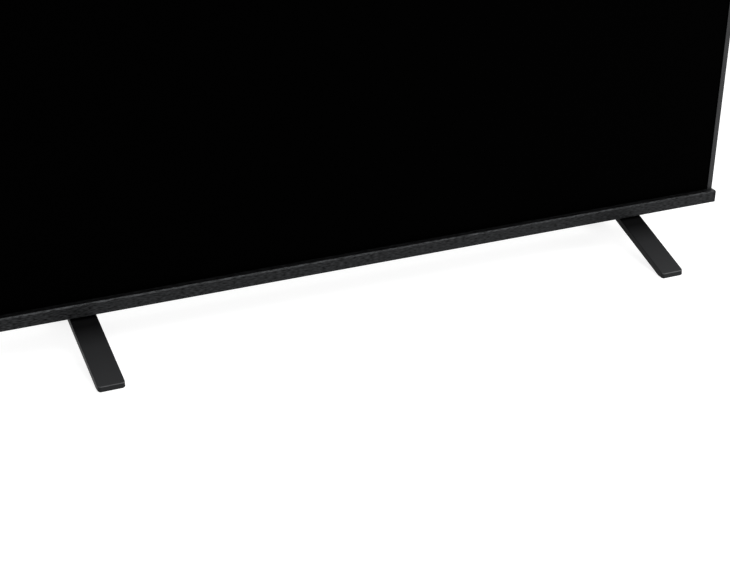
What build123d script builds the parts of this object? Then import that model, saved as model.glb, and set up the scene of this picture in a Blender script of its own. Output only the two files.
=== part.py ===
"""Flat screen television on two blade feet, built piece by piece in millimetres.

X runs to the viewer's right, Y runs to the back and Z runs up. The origin lies on the floor,
half way between the feet, in the plane of the bottom bar's front face.
"""

import os
from math import cos, radians, tan

from build123d import *

os.makedirs("parts", exist_ok=True)

# Driving sizes of the whole set
picture_width = 1209.6
picture_height = 680.4
picture_border = 4.8
rail_width = 9.0
stand_height = 54.0
bar_height = 19.7
bar_overhang = 1.0
bar_step = 10.6
housing_depth = 36.0
housing_height = 400.0
housing_lean = 34.0
foot_inset = 162.4
foot_width = 38.8
foot_reach = 123.4
foot_slope = 18.6

# Walls, sheets and clearances
clearance = 0.3
thread_gap = 0.05
overrun = 5.0
rail_lip = 1.2
rail_wall = 1.6
rail_depth = 21.4
bar_wall = 1.6
glass_thickness = 1.4
glass_gap = 1.0
glass_tuck = 5.0
ledge_thickness = 2.0
film_thickness = 0.4
plate_thickness = 2.0
sheet_wall = 0.5
light_gap = 14.2
led_board = 1.0
pan_wall = 0.8
cover_wall = 2.5
cover_gap = 4.5
standoff_height = 6.0
board_thickness = 1.6

# Planes that the pieces share, from the floor up and from the bar's face back
bar_top = stand_height + bar_height
frame_width = picture_width + 2 * (picture_border + rail_width)
foot_x = frame_width / 2 - foot_inset
picture_bottom = bar_top + picture_border
picture_top = picture_bottom + picture_height
frame_top = picture_top + picture_border + rail_width
cover_floor = stand_height + cover_wall
rail_back = bar_step + rail_depth
glass_front = bar_step + rail_lip + clearance
glass_back = glass_front + glass_thickness
ledge_back = glass_back + ledge_thickness
plate_front = ledge_back + 2 * film_thickness
plate_back = plate_front + plate_thickness
sheet_floor = plate_back + light_gap
led_front = sheet_floor + sheet_wall
pan_floor = led_front + led_board
pan_back = pan_floor + pan_wall
slim_back = pan_back + cover_gap + cover_wall
housing_back = slim_back + housing_depth
board_front = pan_back + standoff_height
board_back = board_front + board_thickness

# Fastener sizes, shared by each screw and the holes that it passes
cover_screw_radius = 1.5
cover_head_radius = 3.5
cover_head_height = 1.5
board_screw_radius = 1.4
board_head_radius = 2.8
board_head_height = 1.6
foot_screw_radius = 2.5
foot_head_radius = 4.5
foot_head_height = 3.5

# Outline of the rear cover and the places of its screws, all on the pan's flat floor
cover_inset = 0.5
cover_screw_margin = 40.0
cover_screw_columns = 4
cover_side_shares = (0.3, 1.0)
cover_width = frame_width - 2 * cover_inset
cover_top = frame_top - cover_inset
housing_top = stand_height + housing_height
cover_screw_side = cover_width / 2 - cover_screw_margin
cover_screw_pitch = 2 * cover_screw_side / (cover_screw_columns - 1)
cover_fixings = [
    (column * cover_screw_pitch - cover_screw_side, cover_top - cover_screw_margin)
    for column in range(cover_screw_columns)
] + [
    (side * cover_screw_side, stand_height + share * housing_height)
    for side in (-1, 1)
    for share in cover_side_shares
]


def at_depth(depth):
    """A sketch plane at this depth, seen from the front: its x runs right, its y up."""
    return Plane.XZ.offset(-depth)


def upright(width, low, high, mode=Mode.ADD):
    """A rectangle of the open sketch, centred left to right, between two heights."""
    with Locations((0, (low + high) / 2)):
        return Rectangle(width, high - low, mode=mode)


def rod(places, radius, front, back, mode=Mode.ADD):
    """Round rods or holes of the open part at (x, z) places, from depth front to depth back."""
    with BuildSketch(at_depth(front)) as ends:
        with Locations(*places):
            Circle(radius)
    extrude(ends.sketch, amount=front - back, mode=mode)


def slab(x, z, width, height, front, back, mode=Mode.ADD):
    """A block of the open part, centred at x and z, from depth front to depth back."""
    with BuildSketch(at_depth(front)) as face:
        with Locations((x, z)):
            Rectangle(width, height)
    extrude(face.sketch, amount=front - back, mode=mode)


def save(piece, name):
    """Labels a finished piece and writes it under its own name."""
    piece.part.label = name
    export_step(piece.part, f"parts/{name}.step")


# Bottom bar: a brushed channel across the whole front, a little wider than the frame.
bar_width = frame_width + 2 * bar_overhang
bar_top_chamfer = 1.9
bar_foot_chamfer = 0.5
ledge_depth = glass_front - clearance
corner_pad_length = bar_overhang + rail_wall

with BuildPart() as bottom_bar:
    with BuildSketch(Plane.YZ.offset(-bar_width / 2)):
        with BuildLine():
            Polyline(
                (0, stand_height),
                (0, bar_top),
                (ledge_depth, bar_top),
                (ledge_depth, bar_top - bar_wall),
                (bar_wall, bar_top - bar_wall),
                (bar_wall, stand_height + bar_wall),
                (rail_back, stand_height + bar_wall),
                (rail_back, stand_height),
                close=True,
            )
        make_face()
    extrude(amount=bar_width)
    # End walls close the channel, and corner pads carry the side rails
    for side in (-1, 1):
        with BuildSketch(Plane.YZ.offset(side * (bar_width - bar_wall) / 2)):
            with Locations((rail_back / 2, stand_height + bar_height / 2)):
                Rectangle(rail_back, bar_height)
        extrude(amount=bar_wall / 2, both=True)
        with BuildSketch(Plane.XY.offset(bar_top - bar_wall)):
            with Locations((side * (bar_width - corner_pad_length) / 2, rail_back / 2)):
                Rectangle(corner_pad_length, rail_back)
        extrude(amount=bar_wall)
    front_edges = bottom_bar.edges().filter_by(Axis.X).group_by(Axis.Y)[0].sort_by(Axis.Z)
    chamfer(front_edges[-1], bar_top_chamfer)
    front_edges = bottom_bar.edges().filter_by(Axis.X).group_by(Axis.Y)[0].sort_by(Axis.Z)
    chamfer(front_edges[0], bar_foot_chamfer)
save(bottom_bar, "bottom_bar")


# Side and top rails: thin angle sections round the glass, mitred at the top corners.
rail_chamfer = 0.5


def mitre(side):
    """The plane that cuts a top corner at 45 degrees."""
    return Plane(origin=(side * frame_width / 2, 0, frame_top), z_dir=(-side, 0, 1))


for side, name in ((-1, "left_rail"), (1, "right_rail")):
    with BuildPart() as side_rail:
        with BuildSketch(Plane.XY.offset(bar_top)):
            with Locations((side * (frame_width - rail_width) / 2, bar_step + rail_lip / 2)):
                Rectangle(rail_width, rail_lip)
            with Locations((side * (frame_width - rail_wall) / 2, bar_step + rail_depth / 2)):
                Rectangle(rail_wall, rail_depth)
        extrude(amount=frame_top - bar_top)
        upright_edges = side_rail.edges().filter_by(Axis.Z).group_by(Axis.Y)[0]
        chamfer(upright_edges.sort_by(Axis.X)[0 if side < 0 else -1], rail_chamfer)
        split(bisect_by=mitre(side), keep=Keep.BOTTOM)
    save(side_rail, name)

with BuildPart() as top_rail:
    with BuildSketch(Plane.YZ.offset(-frame_width / 2)):
        with Locations((bar_step + rail_lip / 2, frame_top - rail_width / 2)):
            Rectangle(rail_lip, rail_width)
        with Locations((bar_step + rail_depth / 2, frame_top - rail_wall / 2)):
            Rectangle(rail_depth, rail_wall)
    extrude(amount=frame_width)
    chamfer(top_rail.edges().filter_by(Axis.X).group_by(Axis.Y)[0].sort_by(Axis.Z)[-1], rail_chamfer)
    for side in (-1, 1):
        split(bisect_by=mitre(side), keep=Keep.TOP)
save(top_rail, "top_rail")


# Display panel: two bonded sheets of glass, tucked behind the bar at its lower edge.
glass_width = frame_width - 2 * (rail_wall + glass_gap)
glass_bottom = bar_top - glass_tuck
glass_top = frame_top - rail_wall - glass_gap

with BuildPart() as lcd_panel:
    with BuildSketch(at_depth(glass_front)):
        upright(glass_width, glass_bottom, glass_top)
    extrude(amount=-glass_thickness)
save(lcd_panel, "lcd_panel")


# Panel frame: the moulded frame whose ledge carries the glass and whose wall holds the tray.
guide_wall = 1.4
guide_setback = 5.3
ledge_reach = 1.0
guide_foot = 8.0
guide_width = frame_width - 2 * (rail_wall + clearance)
guide_low = stand_height + bar_wall + clearance
guide_high = frame_top - rail_wall - clearance
guide_back = rail_back - guide_setback
bay_width = guide_width - 2 * guide_wall
bay_low = bar_top - guide_foot
bay_high = guide_high - guide_wall

with BuildPart() as panel_frame:
    with BuildSketch(at_depth(glass_back)):
        upright(guide_width, guide_low, guide_high)
        upright(
            picture_width + 2 * ledge_reach,
            picture_bottom - ledge_reach,
            picture_top + ledge_reach,
            mode=Mode.SUBTRACT,
        )
    extrude(amount=-ledge_thickness)
    with BuildSketch(at_depth(ledge_back)):
        upright(guide_width, guide_low, guide_high)
        upright(bay_width, bay_low, bay_high, mode=Mode.SUBTRACT)
    extrude(amount=ledge_back - guide_back)
save(panel_frame, "panel_frame")


# Film stack: two thin films and the stiff diffuser plate, laid on the back of the ledge.
stack_gap = 0.5
stack_width = bay_width - 2 * stack_gap
stack_low = bay_low + stack_gap
stack_high = bay_high - stack_gap

for name, front, thickness in (
    ("prism_film", ledge_back, film_thickness),
    ("brightness_film", ledge_back + film_thickness, film_thickness),
    ("diffuser_plate", plate_front, plate_thickness),
):
    with BuildPart() as layer:
        with BuildSketch(at_depth(front)):
            upright(stack_width, stack_low, stack_high)
        extrude(amount=-thickness)
    save(layer, name)


# Light tray: a folded white sheet inside a pressed steel pan, both with leaning sides.
flange_width = 6.0
lean_share = 0.95
pan_front = plate_back + sheet_wall
tray_gap = 1.0
lens_radius = 7.5
lens_height = 4.5
lens_taper = 15.0
lens_hole_radius = lens_radius + tray_gap
led_bar_width = 14.0
led_rows = 3
lens_columns = 6
rib_width = 14.0
rib_height = 2.0
rib_taper = 40.0
rib_rows = 3
lens_field_width_share = 0.86
lens_field_height_share = 0.74
rib_length_share = 0.82
rib_rise_share = 0.26


def tray(flange_edge, front, floor, wall):
    """A shallow tray with leaning sides, open to the front, with a flange round its rim."""
    width = stack_width - 2 * flange_edge
    low = stack_low + flange_edge
    high = stack_high - flange_edge
    depth = floor - front
    lean = lean_share * depth
    outer_lean = lean_share * (depth + wall)
    with BuildPart() as form:
        with BuildSketch(at_depth(front)):
            upright(width, low, high)
        with BuildSketch(at_depth(floor + wall)):
            upright(width - 2 * outer_lean, low + outer_lean, high - outer_lean)
        loft()
        with BuildSketch(at_depth(front)):
            upright(width - 2 * wall, low + wall, high - wall)
        with BuildSketch(at_depth(floor)):
            upright(width - 2 * (wall + lean), low + wall + lean, high - wall - lean)
        loft(mode=Mode.SUBTRACT)
        with BuildSketch(at_depth(front)):
            upright(stack_width, stack_low, stack_high)
            upright(width - 2 * wall, low + wall, high - wall, mode=Mode.SUBTRACT)
        extrude(amount=-wall)
    return form


tray_middle = (stack_low + stack_high) / 2
lens_pitch_x = lens_field_width_share * stack_width / (lens_columns - 1)
lens_pitch_z = lens_field_height_share * (stack_high - stack_low) / (led_rows - 1)

sheet = tray(flange_width + tray_gap, plate_back, sheet_floor, sheet_wall)
with BuildPart() as reflector:
    add(sheet.part)
    with BuildSketch(at_depth(sheet_floor)):
        with Locations((0, tray_middle)):
            with GridLocations(lens_pitch_x, lens_pitch_z, lens_columns, led_rows):
                Circle(lens_hole_radius)
    extrude(amount=-sheet_wall, mode=Mode.SUBTRACT)
save(reflector, "reflector")

rib_length = rib_length_share * stack_width
rib_pitch = rib_rise_share * (stack_high - stack_low)
pressing = tray(flange_width, pan_front, pan_floor, pan_wall)
with BuildPart() as back_pan:
    add(pressing.part)
    # Pressed ribs: each stands out at the back and leaves its groove at the front
    with BuildSketch(at_depth(pan_back)):
        with Locations((0, tray_middle)):
            with GridLocations(rib_length, rib_pitch, 1, rib_rows):
                Rectangle(rib_length, rib_width)
    extrude(amount=-rib_height, taper=rib_taper)
    with BuildSketch(at_depth(pan_floor)):
        with Locations((0, tray_middle)):
            with GridLocations(rib_length, rib_pitch, 1, rib_rows):
                Rectangle(rib_length - 2 * pan_wall, rib_width - 2 * pan_wall)
    extrude(amount=-rib_height, taper=rib_taper, mode=Mode.SUBTRACT)
    rod(cover_fixings, cover_screw_radius + thread_gap, pan_floor, pan_back, mode=Mode.SUBTRACT)
save(back_pan, "back_pan")

led_bar_length = lens_pitch_x * (lens_columns - 1) + 2 * led_bar_width
for row in range(led_rows):
    row_height = tray_middle + (row - (led_rows - 1) / 2) * lens_pitch_z
    with BuildPart() as led_bar:
        slab(0, row_height, led_bar_length, led_bar_width, led_front, pan_floor)
        with BuildSketch(at_depth(led_front)):
            with Locations((0, row_height)):
                with GridLocations(lens_pitch_x, lens_pitch_z, lens_columns, 1):
                    Circle(lens_radius)
        extrude(amount=lens_height, taper=lens_taper)
    save(led_bar, f"led_bar_{row + 1}")


# Places in the lower housing. From the floor up: speakers, timing board, the two big boards.
# From the middle outwards: wall mount pillars, boards, then the recess walls that they meet.
mount_pitch = 200.0
mount_drop = 20.0
mount_radius = 7.0
speaker_height = 36.0
speaker_top_gap = 2.5
timing_board_height = 34.0
timing_board_inset = 10.0
board_row_gap = 3.0
main_board_width = 180.0
main_board_height = 230.0
power_board_width = 180.0
power_board_height = 170.0
pillar_gap = 9.5
board_edge_gap = 1.0
socket_clearance = 0.4
recess_width = 62.0
recess_below = 4.0
recess_above = 10.0
power_recess_height = 80.0
recess_floor = board_back - 2 * socket_clearance
mount_height = housing_top - housing_lean - mount_drop - mount_pitch / 2
board_inner = mount_pitch / 2 + mount_radius + pillar_gap
board_outer = board_inner + max(main_board_width, power_board_width)
recess_inner = board_outer + board_edge_gap + cover_wall
timing_board_width = main_board_width - 2 * timing_board_inset
timing_board_low = cover_floor + speaker_height + speaker_top_gap
board_low = timing_board_low + timing_board_height + board_row_gap
jack_recess_low = board_low - recess_below
jack_recess_high = board_low + main_board_height + recess_above
power_recess_low = board_low - recess_below
power_recess_high = power_recess_low + power_recess_height
main_board_x = board_outer - main_board_width / 2
main_board_z = board_low + main_board_height / 2
power_board_x = power_board_width / 2 - board_outer
power_board_z = board_low + power_board_height / 2
timing_board_x = main_board_x
timing_board_z = timing_board_low + timing_board_height / 2
harness_rise = 85.0
harness_z = board_low + harness_rise
board_screw_margin = 6.0


def corners(x, z, width, height):
    """The four fixing places of a board."""
    across = width / 2 - board_screw_margin
    up = height / 2 - board_screw_margin
    return [(x + i * across, z + j * up) for i in (-1, 1) for j in (-1, 1)]


main_board_fixings = corners(main_board_x, main_board_z, main_board_width, main_board_height)
power_board_fixings = corners(power_board_x, power_board_z, power_board_width, power_board_height)
timing_board_fixings = [
    (timing_board_x + side * (timing_board_width / 2 - board_screw_margin), timing_board_z)
    for side in (-1, 1)
]
board_fixings = main_board_fixings + power_board_fixings + timing_board_fixings

# Standoffs and screws that hold the boards on the back pan
standoff_radius = 3.5
board_screw_length = 6.0
with BuildPart() as board_standoffs:
    with BuildSketch(at_depth(pan_back)) as hexagons:
        with Locations(*board_fixings):
            RegularPolygon(standoff_radius, 6)
    extrude(amount=pan_back - board_front)
    rod(
        board_fixings,
        board_screw_radius + thread_gap,
        board_front + board_thickness - board_screw_length,
        board_front,
        mode=Mode.SUBTRACT,
    )
save(board_standoffs, "board_standoffs")

with BuildPart() as board_screws:
    rod(board_fixings, board_head_radius, board_back, board_back + board_head_height)
    rod(board_fixings, board_screw_radius, board_back - board_screw_length + clearance, board_back)
save(board_screws, "board_screws")


# Main board: picture processor, memory and tuner can on one circuit board.
chip_size = 32.0
chip_height = 2.4
chip_x = main_board_x
chip_rise_share = 0.125
chip_z = main_board_z + chip_rise_share * main_board_height
memory_width = 14.0
memory_height = 9.0
memory_pitch = 20.0
memory_thickness = 1.2
tuner_width = 40.0
tuner_height = 28.0
tuner_thickness = 9.0
socket_width = 26.0
socket_height = 8.0
socket_thickness = 6.0
main_socket_x = main_board_x - main_board_width / 2 + socket_height
power_socket_x = power_board_x + power_board_width / 2 - socket_height
ribbon_x = main_board_x - main_board_width / 4

with BuildPart() as main_board:
    slab(main_board_x, main_board_z, main_board_width, main_board_height, board_front, board_back)
    rod(
        main_board_fixings,
        board_screw_radius + clearance,
        board_front,
        board_back,
        mode=Mode.SUBTRACT,
    )
    slab(chip_x, chip_z, chip_size, chip_size, board_back, board_back + chip_height)
    for step in (-1, 0, 1):
        slab(
            chip_x + step * memory_pitch,
            chip_z + chip_size,
            memory_width,
            memory_height,
            board_back,
            board_back + memory_thickness,
        )
    slab(
        main_board_x + tuner_width / 2,
        main_board_z - main_board_height / 2 + tuner_height,
        tuner_width,
        tuner_height,
        board_back,
        board_back + tuner_thickness,
    )
    # Two plug sockets at the board's inner edge, for the power harness and the panel cable
    slab(
        main_socket_x,
        harness_z,
        socket_height,
        socket_width,
        board_back,
        board_back + socket_thickness,
    )
    slab(
        ribbon_x,
        board_low + socket_width,
        socket_width,
        socket_height,
        board_back,
        board_back + socket_thickness,
    )
save(main_board, "main_board")

# Heat sink on the processor: a base plate with upright fins
fin_count = 9
fin_thickness = 1.2
fin_height = 12.0
sink_base = 2.0
sink_share = 1.6
sink_size = sink_share * chip_size
sink_front = board_back + chip_height
with BuildPart() as heat_sink:
    slab(chip_x, chip_z, sink_size, sink_size, sink_front, sink_front + sink_base)
    with BuildSketch(at_depth(sink_front + sink_base)):
        with Locations((chip_x, chip_z)):
            with GridLocations((sink_size - fin_thickness) / (fin_count - 1), 0, fin_count, 1):
                Rectangle(fin_thickness, sink_size)
    extrude(amount=-fin_height)
save(heat_sink, "heat_sink")


# Power board: transformers, round capacitors and a bent heat plate.
capacitor_radius = 9.0
capacitor_height = 22.0
capacitor_pitch = 22.0
transformer_width = 42.0
transformer_height = 34.0
transformer_thickness = 20.0
transformer_spread_share = 0.75
transformer_drop_share = 0.2
cooler_length = 90.0
cooler_thickness = 2.0
cooler_height = 18.0

with BuildPart() as power_board:
    slab(power_board_x, power_board_z, power_board_width, power_board_height, board_front, board_back)
    rod(
        power_board_fixings,
        board_screw_radius + clearance,
        board_front,
        board_back,
        mode=Mode.SUBTRACT,
    )
    with BuildSketch(at_depth(board_back)):
        with Locations((power_board_x, power_board_z + power_board_height / 4)):
            with GridLocations(capacitor_pitch, 0, 3, 1):
                Circle(capacitor_radius)
    extrude(amount=-capacitor_height)
    for side in (-1, 1):
        slab(
            power_board_x + side * transformer_spread_share * transformer_width,
            power_board_z - transformer_drop_share * power_board_height,
            transformer_width,
            transformer_height,
            board_back,
            board_back + transformer_thickness,
        )
    slab(
        power_board_x,
        power_board_z + capacitor_radius,
        cooler_length,
        cooler_thickness,
        board_back,
        board_back + cooler_height,
    )
    slab(
        power_socket_x,
        harness_z,
        socket_height,
        socket_width,
        board_back,
        board_back + socket_thickness,
    )
save(power_board, "power_board")


# Timing board: the small board that drives the glass, under a pressed can.
can_share = 0.3
can_shift_share = 0.17
can_thickness = 4.0
with BuildPart() as timing_board:
    slab(
        timing_board_x, timing_board_z, timing_board_width, timing_board_height, board_front, board_back
    )
    rod(
        timing_board_fixings,
        board_screw_radius + clearance,
        board_front,
        board_back,
        mode=Mode.SUBTRACT,
    )
    slab(
        timing_board_x + can_shift_share * timing_board_width,
        timing_board_z,
        can_share * timing_board_width,
        socket_width,
        board_back,
        board_back + can_thickness,
    )
    slab(
        ribbon_x,
        timing_board_z,
        socket_width,
        socket_height,
        board_back,
        board_back + socket_thickness,
    )
save(timing_board, "timing_board")


# Rear cover: one moulding, a thin tray with the deeper housing behind its lower half.
cover_corner = 4.0
cover_edge = 6.0
housing_corner = 30.0
housing_edge = 5.0
bracket_width = 62.0
housing_width = 2 * (foot_x + bracket_width / 2 + housing_lean)
boss_radius = 4.5
cover_hole_radius = cover_screw_radius + clearance
mount_thread_radius = 3.0
mount_thread_depth = 20.0
mount_fixings = [
    (i * mount_pitch / 2, mount_height + j * mount_pitch / 2) for i in (-1, 1) for j in (-1, 1)
]


def cover_form(inset):
    """The cover's outside drawn in by inset, less the two recesses grown by it."""
    with BuildPart() as form:
        with BuildSketch(at_depth(rail_back)) as outline:
            upright(cover_width - 2 * inset, stand_height + inset, cover_top - inset)
            fillet(outline.vertices().group_by(Axis.Y)[-1], cover_corner - inset)
        extrude(amount=rail_back - slim_back + inset)
        fillet(form.faces().sort_by(Axis.Y)[-1].edges(), cover_edge - inset)
        with BuildSketch(at_depth(rail_back)) as base:
            upright(housing_width - 2 * inset, stand_height + inset, housing_top - inset)
            fillet(base.vertices().group_by(Axis.Y)[-1], housing_corner - inset)
        extrude(amount=rail_back - slim_back + inset)
        with BuildSketch(at_depth(slim_back - inset)) as foot:
            upright(housing_width - 2 * inset, stand_height + inset, housing_top - inset)
            fillet(foot.vertices().group_by(Axis.Y)[-1], housing_corner - inset)
        with BuildSketch(at_depth(housing_back - inset)) as crown:
            upright(
                housing_width - 2 * (inset + housing_lean),
                stand_height + inset,
                housing_top - housing_lean - inset,
            )
            fillet(crown.vertices().group_by(Axis.Y)[-1], housing_corner - inset)
        loft()
        fillet(form.faces().sort_by(Axis.Y)[-1].edges(), housing_edge - inset)
        for side, low, high in (
            (1, jack_recess_low, jack_recess_high),
            (-1, power_recess_low, power_recess_high),
        ):
            slab(
                side * (recess_inner + recess_width / 2),
                (low + high) / 2,
                recess_width + 2 * inset,
                high - low + 2 * inset,
                recess_floor - inset,
                housing_back + overrun,
                mode=Mode.SUBTRACT,
            )
    return form


# Sockets: width along Z, height along Y, at heights that run down the recess wall
jack_front = board_back
hdmi_width = 15.0
hdmi_height = 6.0
hdmi_depth = 12.0
usb_width = 13.4
usb_height = 6.2
usb_depth = 14.0
network_width = 16.0
network_height = 13.5
network_depth = 16.0
optical_size = 9.6
optical_depth = 11.0
audio_radius = 3.8
audio_depth = 12.0
antenna_radius = 5.0
antenna_depth = 14.0
usb_shares = (0.92, 0.835)
hdmi_shares = (0.73, 0.62, 0.51)
network_share = 0.42
optical_share = 0.33
audio_share = 0.24
antenna_share = 0.14
usb_z = [jack_recess_low + share * main_board_height for share in usb_shares]
hdmi_z = [jack_recess_low + share * main_board_height for share in hdmi_shares]
network_z = jack_recess_low + network_share * main_board_height
optical_z = jack_recess_low + optical_share * main_board_height
audio_z = jack_recess_low + audio_share * main_board_height
antenna_z = jack_recess_low + antenna_share * main_board_height
inlet_width = 19.0
inlet_height = 12.5
inlet_depth = 28.0
inlet_z = (power_recess_low + power_recess_high) / 2
wall_holes = (
    [(1, z, hdmi_width, hdmi_height) for z in hdmi_z]
    + [(1, z, usb_width, usb_height) for z in usb_z]
    + [
        (1, network_z, network_width, network_height),
        (1, optical_z, optical_size, optical_size),
        (1, audio_z, 2 * audio_radius, 2 * audio_radius),
        (1, antenna_z, 2 * antenna_radius, 2 * antenna_radius),
        (-1, inlet_z, inlet_width, inlet_height),
    ]
)

# Places on the underside: foot screws, speakers, key and receiver window
foot_screw_setback = 6.0
foot_screw_pitch = 17.0
foot_screw_front = rail_back + foot_screw_setback
foot_screw_rear = foot_screw_front + foot_screw_pitch
speaker_length = 118.0
speaker_margin = 16.0
speaker_x = foot_x - bracket_width / 2 - speaker_margin - speaker_length / 2
speaker_gap = 2.0
speaker_front = pan_back + speaker_gap
speaker_back = housing_back - cover_wall - housing_edge
speaker_y = (speaker_front + speaker_back) / 2
key_y = 56.0
key_radius = 5.0
window_x = 26.0
window_length = 10.0
window_depth = 6.0
key_post_x = 14.0
key_post_radius = 2.0
key_post_height = 8.0
key_board_bottom = cover_floor + key_post_height

# Vents and speaker slots
vent_length = 26.0
vent_width = 3.0
vent_pitch = 10.0
vent_columns = 18
vent_rows = 2
vent_row_pitch = 34.0
vent_drop_share = 1.6
vent_z = housing_top - housing_lean - vent_drop_share * vent_row_pitch
slot_length = 18.0
slot_width = 2.0
slot_pitch = 6.0
slot_count = 6

outside = cover_form(0)
inside = cover_form(cover_wall)
with BuildPart() as rear_cover:
    add(outside.part)
    add(inside.part, mode=Mode.SUBTRACT)
    # Screw bosses reach from the thin wall to the back pan
    rod(cover_fixings, boss_radius, pan_back, slim_back - cover_wall)
    rod(cover_fixings, cover_hole_radius, pan_back, slim_back, mode=Mode.SUBTRACT)
    rod(
        cover_fixings,
        cover_head_radius + clearance,
        slim_back - cover_head_height,
        slim_back,
        mode=Mode.SUBTRACT,
    )
    rod(
        mount_fixings,
        mount_radius + clearance,
        housing_back - cover_wall,
        housing_back,
        mode=Mode.SUBTRACT,
    )
    # Two rows of upright vents under the housing's top edge
    with BuildSketch(at_depth(housing_back - cover_wall)):
        with Locations((0, vent_z)):
            with GridLocations(vent_pitch, vent_row_pitch, vent_columns, vent_rows):
                Rectangle(vent_width, vent_length)
    extrude(amount=-cover_wall, mode=Mode.SUBTRACT)
    # Socket holes through the inner walls of the two recesses
    for side, z, width, height in wall_holes:
        with BuildSketch(Plane.YZ.offset(side * (recess_inner - cover_wall / 2))):
            with Locations((jack_front + height / 2, z)):
                Rectangle(height + 2 * socket_clearance, width + 2 * socket_clearance)
        extrude(amount=cover_wall, both=True, mode=Mode.SUBTRACT)
    # Posts for the key board, then the holes through the underside
    with BuildSketch(Plane.XY.offset(cover_floor)):
        with Locations((-key_post_x, key_y), (key_post_x, key_y)):
            Circle(key_post_radius)
    extrude(amount=key_post_height)
    with BuildSketch(Plane.XY.offset(stand_height)):
        with Locations((0, key_y)):
            Circle(key_radius + clearance)
        with Locations((window_x, key_y)):
            Rectangle(window_length + 2 * clearance, window_depth + 2 * clearance)
        for side in (-1, 1):
            with Locations((side * speaker_x, speaker_y)):
                with GridLocations(slot_pitch, 0, slot_count, 1):
                    Rectangle(slot_width, slot_length)
            with Locations(
                (side * foot_x, foot_screw_front), (side * foot_x, foot_screw_rear)
            ):
                Circle(foot_screw_radius + clearance)
    extrude(amount=cover_wall, mode=Mode.SUBTRACT)
save(rear_cover, "rear_cover")

with BuildPart() as cover_screws:
    rod(cover_fixings, cover_head_radius, slim_back - cover_head_height, slim_back)
    rod(cover_fixings, cover_screw_radius, pan_floor, slim_back - cover_head_height)
save(cover_screws, "cover_screws")

# Wall mount inserts: threaded pillars that run from the back pan to the housing's back
with BuildPart() as mount_inserts:
    rod(mount_fixings, mount_radius, pan_back, housing_back)
    rod(
        mount_fixings,
        mount_thread_radius,
        housing_back - mount_thread_depth,
        housing_back,
        mode=Mode.SUBTRACT,
    )
save(mount_inserts, "mount_inserts")


# Sockets: open shells that lie on the main board with their mouths in the recess wall.
shell_wall = 0.6
tongue_thickness = 1.2
hdmi_tongue_share = 0.7
usb_tongue_share = 0.75
mouth_floor = 2.0


def socket(side, z, width, height, depth, tongue_share):
    """A socket shell whose mouth is flush with the recess wall, with its contact tongue."""
    mouth = Plane.YZ.offset(side * recess_inner)
    middle = (jack_front + height / 2, z)
    with BuildSketch(mouth) as shell:
        with Locations(middle):
            Rectangle(height, width)
    extrude(shell.sketch, amount=-side * depth)
    with BuildSketch(mouth) as hollow:
        with Locations(middle):
            Rectangle(height - 2 * shell_wall, width - 2 * shell_wall)
    extrude(hollow.sketch, amount=-side * (depth - mouth_floor), mode=Mode.SUBTRACT)
    if tongue_share:
        with BuildSketch(mouth.offset(-side * depth)) as tongue:
            with Locations(middle):
                Rectangle(tongue_thickness, tongue_share * width)
        extrude(tongue.sketch, amount=side * (depth - mouth_floor))


def round_socket(z, radius, bore_radius, depth):
    """A round socket that lies on the main board with its bore in the recess wall."""
    with BuildSketch(Plane.YZ.offset(recess_inner)) as tube:
        with Locations((jack_front + radius, z)):
            Circle(radius)
            Circle(bore_radius, mode=Mode.SUBTRACT)
    extrude(tube.sketch, amount=-depth)
    with BuildSketch(Plane.YZ.offset(recess_inner - depth)) as floor:
        with Locations((jack_front + radius, z)):
            Circle(radius)
    extrude(floor.sketch, amount=mouth_floor)


with BuildPart() as hdmi_jacks:
    for place in hdmi_z:
        socket(1, place, hdmi_width, hdmi_height, hdmi_depth, hdmi_tongue_share)
save(hdmi_jacks, "hdmi_jacks")

with BuildPart() as usb_jacks:
    for place in usb_z:
        socket(1, place, usb_width, usb_height, usb_depth, usb_tongue_share)
save(usb_jacks, "usb_jacks")

with BuildPart() as network_jack:
    socket(1, network_z, network_width, network_height, network_depth, 0)
save(network_jack, "network_jack")

with BuildPart() as optical_jack:
    socket(1, optical_z, optical_size, optical_size, optical_depth, 0)
save(optical_jack, "optical_jack")

audio_bore = 1.8
with BuildPart() as audio_jack:
    round_socket(audio_z, audio_radius, audio_bore, audio_depth)
save(audio_jack, "audio_jack")

antenna_bore = 3.6
antenna_pin = 0.7
with BuildPart() as antenna_jack:
    round_socket(antenna_z, antenna_radius, antenna_bore, antenna_depth)
    with BuildSketch(Plane.YZ.offset(recess_inner - antenna_depth)):
        with Locations((jack_front + antenna_radius, antenna_z)):
            Circle(antenna_pin)
    extrude(amount=antenna_depth - mouth_floor)
save(antenna_jack, "antenna_jack")

# Mains inlet: a block on the power board, through the other recess's wall, with a two-pin cup
inlet_stand_out = 16.0
cup_depth = 14.0
cup_wall = 2.0
pin_radius = 1.2
pin_pitch = 8.6
pin_setback = 2.0
mouth_x = -recess_inner - inlet_stand_out
with BuildPart() as power_inlet:
    with BuildSketch(Plane.YZ.offset(mouth_x)):
        with Locations((jack_front + inlet_height / 2, inlet_z)):
            Rectangle(inlet_height, inlet_width)
    extrude(amount=inlet_depth)
    with BuildSketch(Plane.YZ.offset(mouth_x)):
        with Locations((jack_front + inlet_height / 2, inlet_z)):
            SlotOverall(inlet_width - 2 * cup_wall, inlet_height - 2 * cup_wall, rotation=90)
    extrude(amount=cup_depth, mode=Mode.SUBTRACT)
    with BuildSketch(Plane.YZ.offset(mouth_x + cup_depth)):
        with Locations((jack_front + inlet_height / 2, inlet_z)):
            with GridLocations(0, pin_pitch, 1, 2):
                Circle(pin_radius)
    extrude(amount=pin_setback - cup_depth)
save(power_inlet, "power_inlet")


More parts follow.
